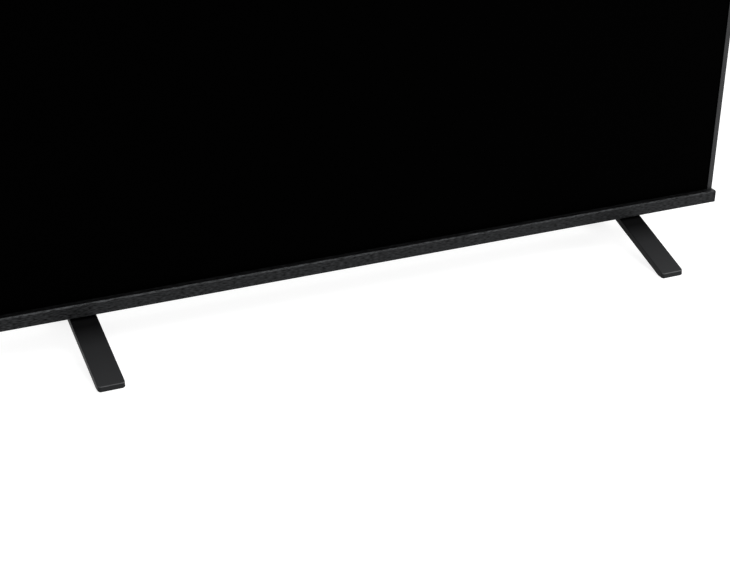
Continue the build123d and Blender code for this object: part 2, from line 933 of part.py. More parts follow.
# Wireless module: a small can on the back pan above the boards.
module_width = 32.0
module_height = 20.0
module_thickness = 3.5
module_x = power_board_x
module_z = tray_middle - rib_pitch / 2
with BuildPart() as wireless_module:
    slab(module_x, module_z, module_width, module_height, pan_back, pan_back + module_thickness)
save(wireless_module, "wireless_module")


# Power key under the set, with its board and the receiver window beside it.
key_flange_radius = 6.5
key_flange_height = 1.2
key_drop = 1.6
key_travel = 0.8
key_stem_radius = 2.0
key_board_length = 74.0
key_board_depth = 18.0
switch_size = 6.2
switch_height = 3.4
switch_bottom = key_board_bottom - switch_height
key_stem_top = switch_bottom - key_travel - clearance
key_chamfer = 0.6

with BuildPart() as power_key:
    with BuildSketch(Plane.XY.offset(stand_height - key_drop)):
        with Locations((0, key_y)):
            Circle(key_radius)
    extrude(amount=cover_floor + clearance - stand_height + key_drop)
    chamfer(power_key.faces().sort_by(Axis.Z)[0].edges(), key_chamfer)
    with BuildSketch(Plane.XY.offset(cover_floor + clearance)):
        with Locations((0, key_y)):
            Circle(key_flange_radius)
    extrude(amount=key_flange_height)
    with BuildSketch(Plane.XY.offset(cover_floor + clearance)):
        with Locations((0, key_y)):
            Circle(key_stem_radius)
    extrude(amount=key_stem_top - cover_floor - clearance)
save(power_key, "power_key")

receiver_size = 5.0
with BuildPart() as key_board:
    with BuildSketch(Plane.XY.offset(key_board_bottom)):
        with Locations((window_x / 2, key_y)):
            Rectangle(key_board_length, key_board_depth)
    extrude(amount=board_thickness)
    with BuildSketch(Plane.XY.offset(switch_bottom)):
        with Locations((0, key_y)):
            Rectangle(switch_size, switch_size)
    extrude(amount=switch_height)
    with BuildSketch(Plane.XY.offset(key_board_bottom - receiver_size)):
        with Locations((window_x, key_y)):
            Rectangle(receiver_size, receiver_size)
    extrude(amount=receiver_size)
save(key_board, "key_board")

window_flange = 1.2
with BuildPart() as receiver_window:
    with BuildSketch(Plane.XY.offset(stand_height)):
        with Locations((window_x, key_y)):
            Rectangle(window_length, window_depth)
    extrude(amount=cover_wall)
    with BuildSketch(Plane.XY.offset(cover_floor)):
        with Locations((window_x, key_y)):
            Rectangle(window_length + 2 * window_flange, window_depth + 2 * window_flange)
    extrude(amount=window_flange)
save(receiver_window, "receiver_window")


# Speakers: a moulded box on the cover's floor at each side, firing down through the slots.
box_wall = 2.0
driver_rim = 2.0
driver_gap = 0.45
flange_radius = (speaker_back - speaker_front) / 2 - box_wall - driver_gap
driver_radius = flange_radius - driver_rim
flange_thickness = 1.5
basket_height = 12.0
magnet_radius = 8.0
magnet_height = 8.0
cone_thickness = 0.6
cone_gap = 0.7
cone_depth = 5.0
coil_radius = 3.0
coil_height = 3.0
box_floor = cover_floor + box_wall
driver_top = box_floor + flange_thickness
basket_top = driver_top + basket_height

for side, name in ((-1, "left"), (1, "right")):
    centre_x = side * speaker_x
    with BuildPart() as speaker_box:
        with BuildSketch(Plane.XY.offset(cover_floor)):
            with Locations((centre_x, speaker_y)):
                Rectangle(speaker_length, speaker_back - speaker_front)
        extrude(amount=speaker_height)
        with BuildSketch(Plane.XY.offset(box_floor)):
            with Locations((centre_x, speaker_y)):
                Rectangle(
                    speaker_length - 2 * box_wall, speaker_back - speaker_front - 2 * box_wall
                )
        extrude(amount=speaker_height - 2 * box_wall, mode=Mode.SUBTRACT)
        with BuildSketch(Plane.XY.offset(cover_floor)):
            with Locations((centre_x, speaker_y)):
                Circle(driver_radius)
        extrude(amount=box_wall, mode=Mode.SUBTRACT)
    save(speaker_box, f"{name}_speaker_box")

    axis = Plane(origin=(centre_x, speaker_y, 0), x_dir=(1, 0, 0), z_dir=(0, -1, 0))
    with BuildPart() as speaker_driver:
        with BuildSketch(axis):
            with BuildLine():
                Polyline(
                    (driver_radius, box_floor),
                    (flange_radius, box_floor),
                    (flange_radius, driver_top),
                    (magnet_radius, basket_top),
                    (magnet_radius, basket_top + magnet_height),
                    (0, basket_top + magnet_height),
                    (0, basket_top),
                    (driver_radius, driver_top),
                    close=True,
                )
            make_face()
        revolve(axis=Axis((centre_x, speaker_y, 0), (0, 0, 1)))
    save(speaker_driver, f"{name}_speaker_driver")

    cone_rim = driver_radius - cone_gap
    cone_low = box_floor + flange_thickness / 2
    with BuildPart() as speaker_cone:
        with BuildSketch(axis):
            with BuildLine():
                Polyline(
                    (0, cone_low + cone_depth),
                    (coil_radius, cone_low + cone_depth),
                    (cone_rim, cone_low),
                    (cone_rim, cone_low + cone_thickness),
                    (coil_radius, cone_low + cone_depth + coil_height),
                    (0, cone_low + cone_depth + coil_height),
                    close=True,
                )
            make_face()
        revolve(axis=Axis((centre_x, speaker_y, 0), (0, 0, 1)))
    save(speaker_cone, f"{name}_speaker_cone")


# Feet: a sloping blade to the front, a steeper one to the back and a web under the set.
pad_thickness = 1.5
pad_inset = 1.6
toe_lean = 1.0
toe_height = 8.3
toe_corner = 4.5
blade_thickness = 10.0
web_thickness = 8.0
web_rear = 70.0
arch_fillet = 10.0
blade_edge = 0.8
upward_share = 0.5
head_recess = 0.5
counterbore_depth = foot_head_height + head_recess
toe_face = foot_reach - toe_lean
web_front = (stand_height - toe_height) / tan(radians(foot_slope)) - toe_face
rear_slope_share = (stand_height - toe_height) / (toe_face - web_rear)
front_slope_share = tan(radians(foot_slope))
front_drop = blade_thickness / cos(radians(foot_slope))
rear_drop = blade_thickness * (1 + rear_slope_share**2) ** 0.5
web_low = stand_height - web_thickness


def underside(slope_share, drop, start, height):
    """How far from the middle plane a leg's underside passes this height."""
    return start - (height + drop - toe_height) / slope_share


def faces_up(face):
    """True for a face that looks more up than sideways."""
    return face.normal_at().Z > upward_share


front_pad_end = underside(front_slope_share, front_drop, toe_face, pad_thickness)
rear_pad_end = underside(rear_slope_share, rear_drop, toe_face, pad_thickness)
front_arch = underside(front_slope_share, front_drop, toe_face, web_low)
rear_arch = underside(rear_slope_share, rear_drop, toe_face, web_low)

for side, name in ((-1, "left"), (1, "right")):
    middle_x = side * foot_x
    with BuildPart() as foot:
        with BuildSketch(Plane.YZ.offset(middle_x - foot_width / 2)):
            with BuildLine():
                Polyline(
                    (-foot_reach, pad_thickness),
                    (-toe_face, toe_height),
                    (web_front, stand_height),
                    (web_rear, stand_height),
                    (toe_face, toe_height),
                    (foot_reach, pad_thickness),
                    (rear_pad_end, pad_thickness),
                    (rear_arch, web_low),
                    (-front_arch, web_low),
                    (-front_pad_end, pad_thickness),
                    close=True,
                )
            make_face()
        extrude(amount=foot_width)
        arch_edges = foot.edges().filter_by(Axis.X).filter_by_position(
            Axis.Z, web_low - clearance, web_low + clearance
        )
        fillet(arch_edges, arch_fillet)
        # Rounded toes in plan, then a soft edge along the sloping tops
        for end in (-1, 1):
            toe = foot.faces().sort_by(Axis.Y)[0 if end < 0 else -1]
            fillet(toe.edges().filter_by(Axis.X, reverse=True), toe_corner)
        top_faces = foot.faces().filter_by(Axis.X, reverse=True)
        front_top = top_faces.filter_by(faces_up).sort_by(Axis.Y)[0]
        chamfer(front_top.edges(), blade_edge)
        for place in (foot_screw_front, foot_screw_rear):
            with Locations(Plane(origin=(middle_x, place, web_low), z_dir=(0, 0, -1))):
                CounterBoreHole(
                    foot_screw_radius + clearance,
                    foot_head_radius + clearance,
                    counterbore_depth,
                    web_thickness,
                )
    save(foot, f"{name}_foot")

    # Rubber pads under both toes
    for end, pad_name in ((-1, "front"), (1, "rear")):
        inner = front_pad_end if end < 0 else rear_pad_end
        pad_length = foot_reach - inner - 2 * pad_inset
        with BuildPart() as pad:
            with BuildSketch(Plane.XY) as pad_outline:
                with Locations((middle_x, end * (inner + pad_inset + pad_length / 2))):
                    Rectangle(foot_width - 2 * pad_inset, pad_length)
                toe_side = pad_outline.vertices().group_by(Axis.Y)[0 if end < 0 else -1]
                fillet(toe_side, toe_corner - pad_inset)
            extrude(amount=pad_thickness)
        save(pad, f"{name}_{pad_name}_pad")


# Foot brackets: folded steel angles on the cover's floor, screwed to the pan above.
bracket_thickness = 3.0
bracket_rise = 90.0
bracket_front = pan_back
bracket_overhang = 12.0
bracket_back = foot_screw_rear + bracket_overhang
foot_screw_top = cover_floor + bracket_thickness

for side, name in ((-1, "left"), (1, "right")):
    middle_x = side * foot_x
    with BuildPart() as bracket:
        with BuildSketch(Plane.YZ.offset(middle_x - bracket_width / 2)):
            with BuildLine():
                Polyline(
                    (bracket_front, cover_floor),
                    (bracket_back, cover_floor),
                    (bracket_back, cover_floor + bracket_thickness),
                    (bracket_front + bracket_thickness, cover_floor + bracket_thickness),
                    (bracket_front + bracket_thickness, cover_floor + bracket_rise),
                    (bracket_front, cover_floor + bracket_rise),
                    close=True,
                )
            make_face()
        extrude(amount=bracket_width)
        with BuildSketch(Plane.XY.offset(cover_floor)):
            with Locations((middle_x, foot_screw_front), (middle_x, foot_screw_rear)):
                Circle(foot_screw_radius + thread_gap)
        extrude(amount=bracket_thickness, mode=Mode.SUBTRACT)
    save(bracket, f"{name}_foot_bracket")

# Foot screws, up through the web and the cover into the brackets
screw_head_bottom = web_low + counterbore_depth - foot_head_height
with BuildPart() as foot_screws:
    for side in (-1, 1):
        for place in (foot_screw_front, foot_screw_rear):
            with BuildSketch(Plane.XY.offset(screw_head_bottom)):
                with Locations((side * foot_x, place)):
                    Circle(foot_head_radius)
            extrude(amount=foot_head_height)
            with BuildSketch(Plane.XY.offset(screw_head_bottom)):
                with Locations((side * foot_x, place)):
                    Circle(foot_screw_radius)
            extrude(amount=foot_screw_top - screw_head_bottom)
save(foot_screws, "foot_screws")


# Panel cable: a flat ribbon that bows out between the main board and the timing board.
ribbon_width = 20.0
ribbon_thickness = 0.4
ribbon_bow = 5.0
ribbon_front = board_back + socket_thickness / 2
ribbon_low = timing_board_z + socket_height / 2
ribbon_high = board_low + socket_width - socket_height / 2
ribbon_middle = (ribbon_low + ribbon_high) / 2
with BuildPart() as panel_cable:
    with BuildSketch(Plane.YZ.offset(ribbon_x - ribbon_width / 2)):
        with BuildLine():
            inner_bow = ThreePointArc(
                (ribbon_front, ribbon_low),
                (ribbon_front + ribbon_bow, ribbon_middle),
                (ribbon_front, ribbon_high),
            )
            outer_bow = ThreePointArc(
                (ribbon_front + ribbon_thickness, ribbon_low),
                (ribbon_front + ribbon_bow + ribbon_thickness, ribbon_middle),
                (ribbon_front + ribbon_thickness, ribbon_high),
            )
            Line(inner_bow @ 0, outer_bow @ 0)
            Line(inner_bow @ 1, outer_bow @ 1)
        make_face()
    extrude(amount=ribbon_width)
save(panel_cable, "panel_cable")


# Wire bundles: straight runs joined by arcs as wide as the runs allow.
bend_share = 0.45


def bundle(points, radius):
    """A round bundle of wires of the open part along these points."""
    runs = [Vector(*end) - Vector(*start) for start, end in zip(points, points[1:])]
    radii = [
        bend_share * min(first.length, second.length) / tan(radians(first.get_angle(second) / 2))
        for first, second in zip(runs, runs[1:])
    ]
    with BuildLine() as path:
        FilletPolyline(*points, radius=radii)
    with BuildSketch(Plane(origin=points[0], z_dir=runs[0])) as section:
        Circle(radius)
    sweep(section.sketch, path.line)


harness_radius = 2.8
harness_sag = 6.0
harness_bend_share = 0.4
harness_left = power_socket_x + socket_height / 2
harness_right = main_socket_x - socket_height / 2
harness_y = board_back + socket_thickness / 2
with BuildPart() as board_harness:
    bundle(
        [
            (harness_left, harness_y, harness_z),
            (harness_bend_share * harness_left, harness_y + harness_sag, harness_z),
            (harness_bend_share * harness_right, harness_y + harness_sag, harness_z),
            (harness_right, harness_y, harness_z),
        ],
        harness_radius,
    )
save(board_harness, "board_harness")
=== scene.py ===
"""Looks of a flat screen television on two blade feet, dressed in the order it is put together."""

import math

import bpy
from mathutils import Matrix, Vector


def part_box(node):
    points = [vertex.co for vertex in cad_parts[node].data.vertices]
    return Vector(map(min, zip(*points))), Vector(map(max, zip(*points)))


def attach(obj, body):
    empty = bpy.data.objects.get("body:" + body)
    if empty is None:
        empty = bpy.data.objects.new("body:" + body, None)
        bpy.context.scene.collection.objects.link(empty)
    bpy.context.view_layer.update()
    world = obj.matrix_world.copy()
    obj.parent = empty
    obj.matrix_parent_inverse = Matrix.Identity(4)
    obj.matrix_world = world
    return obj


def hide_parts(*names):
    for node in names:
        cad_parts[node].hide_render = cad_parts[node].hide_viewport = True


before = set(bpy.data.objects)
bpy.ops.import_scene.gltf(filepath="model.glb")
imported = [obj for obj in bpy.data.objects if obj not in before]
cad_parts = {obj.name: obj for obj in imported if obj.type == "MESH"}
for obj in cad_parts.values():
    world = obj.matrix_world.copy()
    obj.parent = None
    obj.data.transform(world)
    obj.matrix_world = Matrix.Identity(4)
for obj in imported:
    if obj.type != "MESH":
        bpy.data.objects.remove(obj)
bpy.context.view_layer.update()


# Studio: the set stands on a plain white floor in a white room, lit by soft panels from above,
# the front and the right. The camera stands where the photograph was taken, front left and above.
image_width = 730
focal_pixels = 1616.5
camera_place = Vector((-0.97876, -1.98032, 1.08824))
camera_turn = math.radians(25.815)
camera_tilt = math.radians(26.122)
camera_roll = math.radians(1.271)
floor_size = 60.0
floor_white = 0.42
floor_glow = 0.84
room_light = 0.42


def soft_panel(name, place, aim, size, watts):
    """A square area lamp at a place, turned to face a point."""
    lamp = bpy.data.lights.new(name, "AREA")
    lamp.shape = "SQUARE"
    lamp.size = size
    lamp.energy = watts
    holder = bpy.data.objects.new(name, lamp)
    holder.location = place
    holder.rotation_euler = (Vector(aim) - Vector(place)).to_track_quat("-Z", "Y").to_euler()
    bpy.context.scene.collection.objects.link(holder)


def seen_directly(tree):
    """One for the rays that show the room to the camera, straight or by gloss or glass."""
    path = tree.nodes.new("ShaderNodeLightPath")
    seen = path.outputs["Is Camera Ray"]
    for ray in ("Is Glossy Ray", "Is Transmission Ray"):
        either = tree.nodes.new("ShaderNodeMath")
        either.operation = "MAXIMUM"
        tree.links.new(seen, either.inputs[0])
        tree.links.new(path.outputs[ray], either.inputs[1])
        seen = either.outputs[0]
    return seen


camera_data = bpy.data.cameras.new("camera")
camera_data.sensor_fit = "HORIZONTAL"
camera_data.lens = camera_data.sensor_width * focal_pixels / image_width
camera = bpy.data.objects.new("camera", camera_data)
forward = Vector(
    (
        math.sin(camera_turn) * math.cos(camera_tilt),
        math.cos(camera_turn) * math.cos(camera_tilt),
        -math.sin(camera_tilt),
    )
)
level_right = Vector((math.cos(camera_turn), -math.sin(camera_turn), 0))
level_up = level_right.cross(forward)
camera_right = level_right * math.cos(camera_roll) + level_up * math.sin(camera_roll)
camera_up = level_up * math.cos(camera_roll) - level_right * math.sin(camera_roll)
camera_axes = Matrix((camera_right, camera_up, -forward)).transposed().to_4x4()
camera.matrix_world = Matrix.Translation(camera_place) @ camera_axes
bpy.context.scene.collection.objects.link(camera)
bpy.context.scene.camera = camera
bpy.context.scene.view_settings.view_transform = "Standard"

room = bpy.data.worlds.new("room")
room.use_nodes = True
room_tree = room.node_tree
soft_light = room_tree.nodes["Background"]
soft_light.inputs["Color"].default_value = (1, 1, 1, 1)
soft_light.inputs["Strength"].default_value = room_light
white_wall = room_tree.nodes.new("ShaderNodeBackground")
white_wall.inputs["Color"].default_value = (1, 1, 1, 1)
room_mix = room_tree.nodes.new("ShaderNodeMixShader")
room_tree.links.new(seen_directly(room_tree), room_mix.inputs["Fac"])
room_tree.links.new(soft_light.outputs[0], room_mix.inputs[1])
room_tree.links.new(white_wall.outputs[0], room_mix.inputs[2])
room_tree.links.new(room_mix.outputs[0], room_tree.nodes["World Output"].inputs["Surface"])
bpy.context.scene.world = room

soft_panel("top_panel", place=(0.6, -0.9, 3.2), aim=(0, 0, 0.4), size=2.6, watts=75)
soft_panel("front_panel", place=(-2.6, -3.2, 1.9), aim=(0, 0, 0.4), size=2.0, watts=7)
soft_panel("right_panel", place=(3.0, -1.8, 1.6), aim=(0, 0, 0.3), size=2.0, watts=54)

floor_mesh = bpy.data.meshes.new("floor")
half = floor_size / 2
floor_corners = [(-half, -half, 0), (half, -half, 0), (half, half, 0), (-half, half, 0)]
floor_mesh.from_pydata(floor_corners, [], [(0, 1, 2, 3)])
floor = bpy.data.objects.new("floor", floor_mesh)
bpy.context.scene.collection.objects.link(floor)
floor_paint = bpy.data.materials.new("floor_paint")
floor_paint.use_nodes = True
floor_tree = floor_paint.node_tree
floor_shader = floor_tree.nodes["Principled BSDF"]
floor_shader.inputs["Base Color"].default_value = (floor_white, floor_white, floor_white, 1)
floor_shader.inputs["Roughness"].default_value = 1.0
floor_shader.inputs["Specular IOR Level"].default_value = 0.0
glow = floor_tree.nodes.new("ShaderNodeMath")
glow.operation = "MULTIPLY"
glow.inputs[1].default_value = floor_glow
floor_tree.links.new(seen_directly(floor_tree), glow.inputs[0])
floor_tree.links.new(glow.outputs[0], floor_shader.inputs["Emission Strength"])
floor_shader.inputs["Emission Color"].default_value = (1, 1, 1, 1)
floor_mesh.materials.append(floor_paint)


# Back pan: one pressing in zinc-coated sheet steel with three stiffening ribs, which carries the
# light bars inside and the boards outside. The folded foot brackets are of the same sheet.
zinc_grey = (0.42, 0.43, 0.44)
zinc_light = (0.55, 0.56, 0.57)


def new_finish(name, colour, roughness, metallic=0.0, specular=0.5):
    """A material with these plain values; returns the material, its tree and its shader."""
    finish = bpy.data.materials.new(name)
    finish.use_nodes = True
    shader = finish.node_tree.nodes["Principled BSDF"]
    shader.inputs["Base Color"].default_value = (*colour, 1)
    shader.inputs["Roughness"].default_value = roughness
    shader.inputs["Metallic"].default_value = metallic
    shader.inputs["Specular IOR Level"].default_value = specular
    return finish, finish.node_tree, shader


def surface_noise(tree, scale, detail, stretch=(1, 1, 1)):
    """Noise on the piece's own coordinates, in features per metre, stretched per axis."""
    place = tree.nodes.new("ShaderNodeTexCoord")
    turn = tree.nodes.new("ShaderNodeMapping")
    turn.inputs["Scale"].default_value = stretch
    noise = tree.nodes.new("ShaderNodeTexNoise")
    noise.inputs["Scale"].default_value = scale
    noise.inputs["Detail"].default_value = detail
    tree.links.new(place.outputs["Object"], turn.inputs["Vector"])
    tree.links.new(turn.outputs["Vector"], noise.inputs["Vector"])
    return noise.outputs["Fac"]


def vary_colour(tree, shader, pattern, dark, light, low=0.35, high=0.65):
    """Colour that runs from dark to light with a pattern; returns the ramp for further stops."""
    ramp = tree.nodes.new("ShaderNodeValToRGB")
    ramp.color_ramp.elements[0].position = low
    ramp.color_ramp.elements[0].color = (*dark, 1)
    ramp.color_ramp.elements[1].position = high
    ramp.color_ramp.elements[1].color = (*light, 1)
    tree.links.new(pattern, ramp.inputs["Fac"])
    tree.links.new(ramp.outputs["Color"], shader.inputs["Base Color"])
    return ramp.color_ramp


def vary_roughness(tree, shader, pattern, low, high):
    """Roughness that runs from low to high with a pattern."""
    spread = tree.nodes.new("ShaderNodeMapRange")
    spread.inputs["To Min"].default_value = low
    spread.inputs["To Max"].default_value = high
    tree.links.new(pattern, spread.inputs["Value"])
    tree.links.new(spread.outputs["Result"], shader.inputs["Roughness"])


def add_bump(tree, shader, pattern, depth, strength):
    """Relief of this depth in metres from a pattern."""
    bump = tree.nodes.new("ShaderNodeBump")
    bump.inputs["Strength"].default_value = strength
    bump.inputs["Distance"].default_value = depth
    tree.links.new(pattern, bump.inputs["Height"])
    tree.links.new(bump.outputs["Normal"], shader.inputs["Normal"])


def dress(finish, *names):
    """Gives CAD nodes this finish on every face."""
    for name in names:
        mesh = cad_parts[name].data
        mesh.materials.clear()
        mesh.materials.append(finish)


zinc_sheet, tree, shader = new_finish("zinc_sheet", zinc_grey, roughness=0.35, metallic=1.0)
spangle = surface_noise(tree, scale=160.0, detail=2.0)
vary_colour(tree, shader, spangle, zinc_grey, zinc_light)
vary_roughness(tree, shader, spangle, low=0.28, high=0.48)
add_bump(tree, shader, surface_noise(tree, scale=900.0, detail=3.0), depth=0.00002, strength=0.4)
dress(zinc_sheet, "back_pan", "left_foot_bracket", "right_foot_bracket")


# Light bars, reflector and films: white aluminium strips with domed lenses, a folded white foam
# sheet with a hole over each lens, a stiff diffuser plate and two thin optical films.
bar_white = (0.74, 0.75, 0.74)
foam_white = (0.80, 0.80, 0.79)
foam_shade = (0.74, 0.74, 0.73)
film_white = (0.70, 0.72, 0.74)

light_bar_paint, tree, shader = new_finish("light_bar_paint", bar_white, roughness=0.35)
vary_roughness(tree, shader, surface_noise(tree, scale=500.0, detail=2.0), low=0.25, high=0.40)
dress(light_bar_paint, "led_bar_1", "led_bar_2", "led_bar_3")

foam_sheet, tree, shader = new_finish("foam_sheet", foam_white, roughness=0.7)
foam_cells = surface_noise(tree, scale=2600.0, detail=2.0)
vary_colour(tree, shader, foam_cells, foam_shade, foam_white)
vary_roughness(tree, shader, foam_cells, low=0.6, high=0.8)
add_bump(tree, shader, foam_cells, depth=0.00003, strength=0.5)
dress(foam_sheet, "reflector")

optical_film, tree, shader = new_finish("optical_film", film_white, roughness=0.3)
prisms = surface_noise(tree, scale=1.0, detail=2.0, stretch=(4000.0, 4.0, 4.0))
vary_roughness(tree, shader, prisms, low=0.22, high=0.38)
dress(optical_film, "diffuser_plate", "brightness_film", "prism_film")


# Panel frame and display glass: a black moulded frame whose ledge carries two bonded sheets of
# glass. The glass has an anti-glare front, is switched off and is quite black.
moulding_black = (0.010, 0.010, 0.010)
moulding_light = (0.016, 0.016, 0.016)
glass_black = (0.0002, 0.0002, 0.0002)
glass_light = (0.0004, 0.0004, 0.0004)

frame_moulding, tree, shader = new_finish("frame_moulding", moulding_black, roughness=0.55)
flow = surface_noise(tree, scale=1200.0, detail=3.0)
vary_colour(tree, shader, flow, moulding_black, moulding_light)
vary_roughness(tree, shader, flow, low=0.48, high=0.64)
dress(frame_moulding, "panel_frame", "left_speaker_box", "right_speaker_box")

display_black, tree, shader = new_finish(
    "display_black", glass_black, roughness=0.42, specular=0.003
)
grain = surface_noise(tree, scale=2400.0, detail=2.0)
vary_colour(tree, shader, grain, glass_black, glass_light, low=0.45, high=0.8)
vary_roughness(tree, shader, grain, low=0.38, high=0.46)
dress(display_black, "lcd_panel")


# Side and top rails: thin folded angles with a satin grey coat, mitred at the corners and clipped
# round the glass. The coat is even, with only a faint grain.
rail_grey = (0.0170, 0.0174, 0.0184)
rail_light = (0.0226, 0.0230, 0.0242)

satin_rail, tree, shader = new_finish(
    "satin_rail", rail_grey, roughness=0.45, metallic=0.4, specular=0.35
)
coat = surface_noise(tree, scale=900.0, detail=2.0)
vary_colour(tree, shader, coat, rail_grey, rail_light)
vary_roughness(tree, shader, coat, low=0.40, high=0.50)
add_bump(tree, shader, coat, depth=0.00002, strength=0.4)
dress(satin_rail, "left_rail", "right_rail", "top_rail")


# Bottom bar: a folded strip of dark grey sheet, brushed along its length in short strokes and
# clipped to the lower edge of the frame. Its top front edge is a cut chamfer.
bar_grey = (0.0018, 0.0019, 0.0020)
bar_streak = (0.0272, 0.0281, 0.0296)
hairline_along = 140.0
hairline_across = 620.0

brushed_bar, tree, shader = new_finish("brushed_bar", bar_grey, roughness=0.42, metallic=0.9)
hairline = surface_noise(
    tree, scale=1.0, detail=6.0, stretch=(hairline_along, hairline_across, hairline_across)
)
vary_colour(tree, shader, hairline, bar_grey, bar_streak)
vary_roughness(tree, shader, hairline, low=0.34, high=0.52)
add_bump(tree, shader, hairline, depth=0.00004, strength=0.6)
dress(brushed_bar, "bottom_bar")


# Boards: green circuit boards on hexagonal brass-coloured standoffs, each held by small black
# pan-head screws with a cross recess. A finned heat sink sits on the picture processor.
mask_green = (0.010, 0.070, 0.030)
mask_light = (0.020, 0.110, 0.050)
standoff_brass = (0.52, 0.42, 0.22)
sink_grey = (0.58, 0.59, 0.60)
seat_slack = 0.001
oxide_black = (0.020, 0.020, 0.022)
oxide_light = (0.045, 0.045, 0.048)
board_head_radius = 0.0028
board_head_height = 0.0016
board_shank_radius = 0.0014
dome_ring_count = 7
dome_power = 2.6
dome_fall = 0.42
rim_sides = 28
slot_length_share = 1.05
slot_width_share = 0.26
slot_depth_share = 1.3
shank_sides = 20
driven_seed = 7


def add_node(tree, kind, inputs, **settings):
    """A node with these settings, whose named inputs take values or the outputs of other nodes."""
    node = tree.nodes.new(kind)
    for name, value in settings.items():
        setattr(node, name, value)
    for name, value in inputs.items():
        if isinstance(value, bpy.types.NodeSocket):
            tree.links.new(value, node.inputs[name])
        else:
            node.inputs[name].default_value = value
    return node


def start_tree(name, *sizes):
    """A node tree with places as its geometry input, these named sizes and a material."""
    tree = bpy.data.node_groups.new(name, "GeometryNodeTree")
    tree.interface.new_socket("Places", in_out="INPUT", socket_type="NodeSocketGeometry")
    for size in sizes:
        tree.interface.new_socket(size, in_out="INPUT", socket_type="NodeSocketFloat")
    tree.interface.new_socket("Material", in_out="INPUT", socket_type="NodeSocketMaterial")
    tree.interface.new_socket("Pieces", in_out="OUTPUT", socket_type="NodeSocketGeometry")
    return tree, tree.nodes.new("NodeGroupInput").outputs


def end_tree(tree, given, pieces):
    """Makes the instances real, gives them the material and closes the tree."""
    real = add_node(tree, "GeometryNodeRealizeInstances", {"Geometry": pieces})
    coated = add_node(
        tree,
        "GeometryNodeSetMaterial",
        {"Geometry": real.outputs[0], "Material": given["Material"]},
    )
    tree.links.new(coated.outputs[0], tree.nodes.new("NodeGroupOutput").inputs[0])


def math_of(tree, operation, first, second=0.0):
    """One step of arithmetic in a tree."""
    step = tree.nodes.new("ShaderNodeMath")
    step.operation = operation
    for socket, value in zip(step.inputs, (first, second)):
        if isinstance(value, bpy.types.NodeSocket):
            tree.links.new(value, socket)
        else:
            socket.default_value = value
    return step.outputs[0]


def vector_of(tree, x=0.0, y=0.0, z=0.0):
    """A vector made of three numbers or sockets."""
    return add_node(tree, "ShaderNodeCombineXYZ", {"X": x, "Y": y, "Z": z}).outputs[0]


def joined(tree, *parts):
    """Several shapes as one."""
    join = tree.nodes.new("GeometryNodeJoinGeometry")
    for part in reversed(parts):
        tree.links.new(part, join.inputs[0])
    return join.outputs[0]


def grow(name, tree, places, sizes, finish, body, slot, *stands_for):
    """Runs a tree on a mesh of places and hangs the result on a body as a plain mesh."""
    seed_mesh = bpy.data.meshes.new(name + "_places")
    seed_mesh.from_pydata(places, [], [])
    seed = bpy.data.objects.new(name + "_places", seed_mesh)
    bpy.context.scene.collection.objects.link(seed)
    modifier = seed.modifiers.new("pieces", "NODES")
    modifier.node_group = tree
    values = {**sizes, "Material": finish}
    for item in tree.interface.items_tree:
        if item.item_type == "SOCKET" and item.in_out == "INPUT" and item.name in values:
            modifier[item.identifier] = values[item.name]
    grown = seed.evaluated_get(bpy.context.evaluated_depsgraph_get())
    mesh = bpy.data.meshes.new_from_object(grown)
    mesh.name = name
    piece = bpy.data.objects.new(name, mesh)
    bpy.context.scene.collection.objects.link(piece)
    bpy.data.objects.remove(seed)
    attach(piece, body)
    if stands_for:
        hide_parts(*stands_for)


# One cross-recessed screw at each place, head outwards along the turned Z axis
screw_tree, given = start_tree(
    "cross_screws", "Head Radius", "Head Height", "Shank Radius", "Shank Length", "Tilt"
)
rise = add_node(
    screw_tree,
    "GeometryNodeCurvePrimitiveLine",
    {"End": vector_of(screw_tree, z=given["Head Height"])},
)
dome_rings = add_node(
    screw_tree,
    "GeometryNodeResampleCurve",
    {"Curve": rise.outputs[0], "Count": dome_ring_count},
)
up_share = screw_tree.nodes.new("GeometryNodeSplineParameter").outputs["Factor"]
bulge = math_of(screw_tree, "POWER", up_share, dome_power)
narrowing = math_of(screw_tree, "MULTIPLY", bulge, dome_fall)
dome_scale = math_of(screw_tree, "SUBTRACT", 1.0, narrowing)
rim = add_node(
    screw_tree,
    "GeometryNodeCurvePrimitiveCircle",
    {"Resolution": rim_sides, "Radius": given["Head Radius"]},
)
head = add_node(
    screw_tree,
    "GeometryNodeCurveToMesh",
    {
        "Curve": dome_rings.outputs[0],
        "Profile Curve": rim.outputs[0],
        "Scale": dome_scale,
        "Fill Caps": True,
    },
)
slot_length = math_of(screw_tree, "MULTIPLY", given["Head Radius"], slot_length_share)
slot_width = math_of(screw_tree, "MULTIPLY", given["Head Radius"], slot_width_share)
slot_depth = math_of(screw_tree, "MULTIPLY", given["Head Height"], slot_depth_share)
slots = []
for across, along in ((slot_length, slot_width), (slot_width, slot_length)):
    cutter = add_node(
        screw_tree,
        "GeometryNodeMeshCube",
        {"Size": vector_of(screw_tree, across, along, slot_depth)},
    )
    lifted = add_node(
        screw_tree,
        "GeometryNodeTransform",
        {
            "Geometry": cutter.outputs[0],
            "Translation": vector_of(screw_tree, z=given["Head Height"]),
        },
    )
    slots.append(lifted.outputs[0])
recess = add_node(
    screw_tree,
    "GeometryNodeMeshBoolean",
    {"Mesh 1": head.outputs[0]},
    operation="DIFFERENCE",
    solver="EXACT",
)
for cutter in slots:
    screw_tree.links.new(cutter, recess.inputs["Mesh 2"])
shank = add_node(
    screw_tree,
    "GeometryNodeMeshCylinder",
    {
        "Vertices": shank_sides,
        "Radius": given["Shank Radius"],
        "Depth": given["Shank Length"],
    },
)
half_down = math_of(screw_tree, "MULTIPLY", given["Shank Length"], -0.5)
sunk = add_node(
    screw_tree,
    "GeometryNodeTransform",
    {"Geometry": shank.outputs["Mesh"], "Translation": vector_of(screw_tree, z=half_down)},
)
